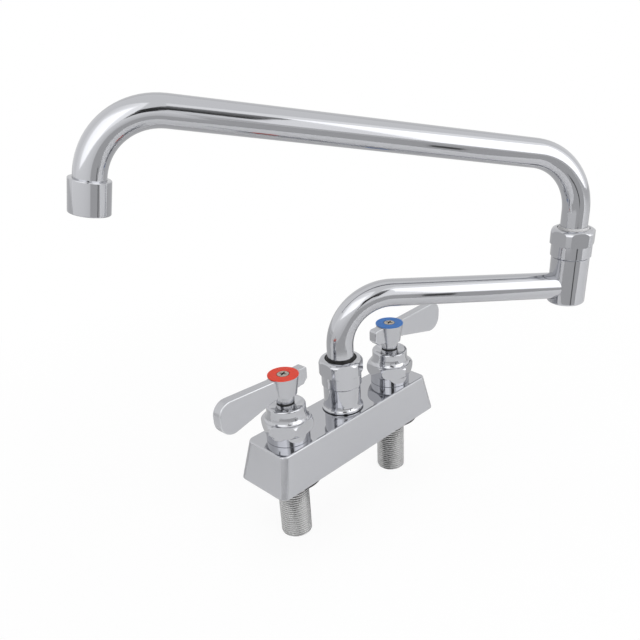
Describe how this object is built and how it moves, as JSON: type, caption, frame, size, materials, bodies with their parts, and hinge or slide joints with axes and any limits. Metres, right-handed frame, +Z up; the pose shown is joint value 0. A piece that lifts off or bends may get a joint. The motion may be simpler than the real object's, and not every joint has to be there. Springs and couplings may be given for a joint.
{
  "type": "deck mount faucet",
  "caption": "Deck-mount faucet with a low block body, lever valves beside the spout, threaded inlet shanks below and a swing spout with a second swivel joint half way.",
  "frame": {"origin": "on the deck, under the middle of the body, on the spout column's axis", "axes": "+Z up from the deck, +X from the hot valve towards the cold valve, -Y towards the user"},
  "size_m": [0.2769, 0.1924, 0.2815],
  "materials": {
    "body_chrome": "smooth plated casting, slightly soft on the sides and bright on top",
    "bright_chrome": "polished plating",
    "lever_chrome": "plated casting, slightly soft",
    "shank_metal": "dull plated thread",
    "gasket_rubber": "matte black",
    "turned_brass": "turned",
    "seal_rubber": "matte black",
    "wear_ring_plastic": "black, slightly glossy",
    "ceramic": "lapped white ceramic",
    "index_red": "glossy red",
    "index_blue": "glossy blue",
    "screw_steel": "bright steel",
    "insert_plastic": "white moulded plastic"
  },
  "bodies": {
    "deck": {"deck_body": "body_chrome", "hot_shank": "shank_metal", "cold_shank": "shank_metal", "hot_gasket": "gasket_rubber", "cold_gasket": "gasket_rubber", "hot_bonnet": "bright_chrome", "cold_bonnet": "bright_chrome", "hot_cartridge": "turned_brass", "cold_cartridge": "turned_brass", "hot_seat_washer": "seal_rubber", "cold_seat_washer": "seal_rubber", "hot_fixed_disc": "ceramic", "cold_fixed_disc": "ceramic", "spout_socket": "bright_chrome", "base_nut": "bright_chrome", "base_wear_ring": "wear_ring_plastic"},
    "hot_handle": {"hot_turning_disc": "ceramic", "hot_stem": "turned_brass", "hot_stem_seals": "seal_rubber", "hot_lever": "lever_chrome", "hot_index": "index_red", "hot_screw": "screw_steel"},
    "cold_handle": {"cold_turning_disc": "ceramic", "cold_stem": "turned_brass", "cold_stem_seals": "seal_rubber", "cold_lever": "lever_chrome", "cold_index": "index_blue", "cold_screw": "screw_steel"},
    "lower_spout": {"lower_foot": "turned_brass", "lower_seal": "seal_rubber", "lower_tube": "bright_chrome", "joint_housing": "bright_chrome", "joint_nut": "bright_chrome", "joint_wear_ring": "wear_ring_plastic"},
    "upper_spout": {"upper_foot": "turned_brass", "upper_seal": "seal_rubber", "upper_tube": "bright_chrome", "aerator_shell": "bright_chrome", "aerator_washer": "seal_rubber", "aerator_insert": "insert_plastic", "aerator_screen": "screw_steel"}
  },
  "joints": [
    {"name": "hot_handle_turn", "type": "hinge", "parent": "deck", "child": "hot_handle", "pos_m": [-0.0508, 0, 0], "axis": [0, 0, 1], "range_deg": [0, 90]},
    {"name": "cold_handle_turn", "type": "hinge", "parent": "deck", "child": "cold_handle", "pos_m": [0.0508, 0, 0], "axis": [0, 0, 1], "range_deg": [-90, 0]},
    {"name": "base_swing", "type": "hinge", "parent": "deck", "child": "lower_spout", "pos_m": [0, 0, 0], "axis": [0, 0, 1], "continuous": true},
    {"name": "joint_swing", "type": "hinge", "parent": "lower_spout", "child": "upper_spout", "pos_m": [0.13634, -0.09024, 0], "axis": [0, 0, 1], "continuous": true}
  ]
}
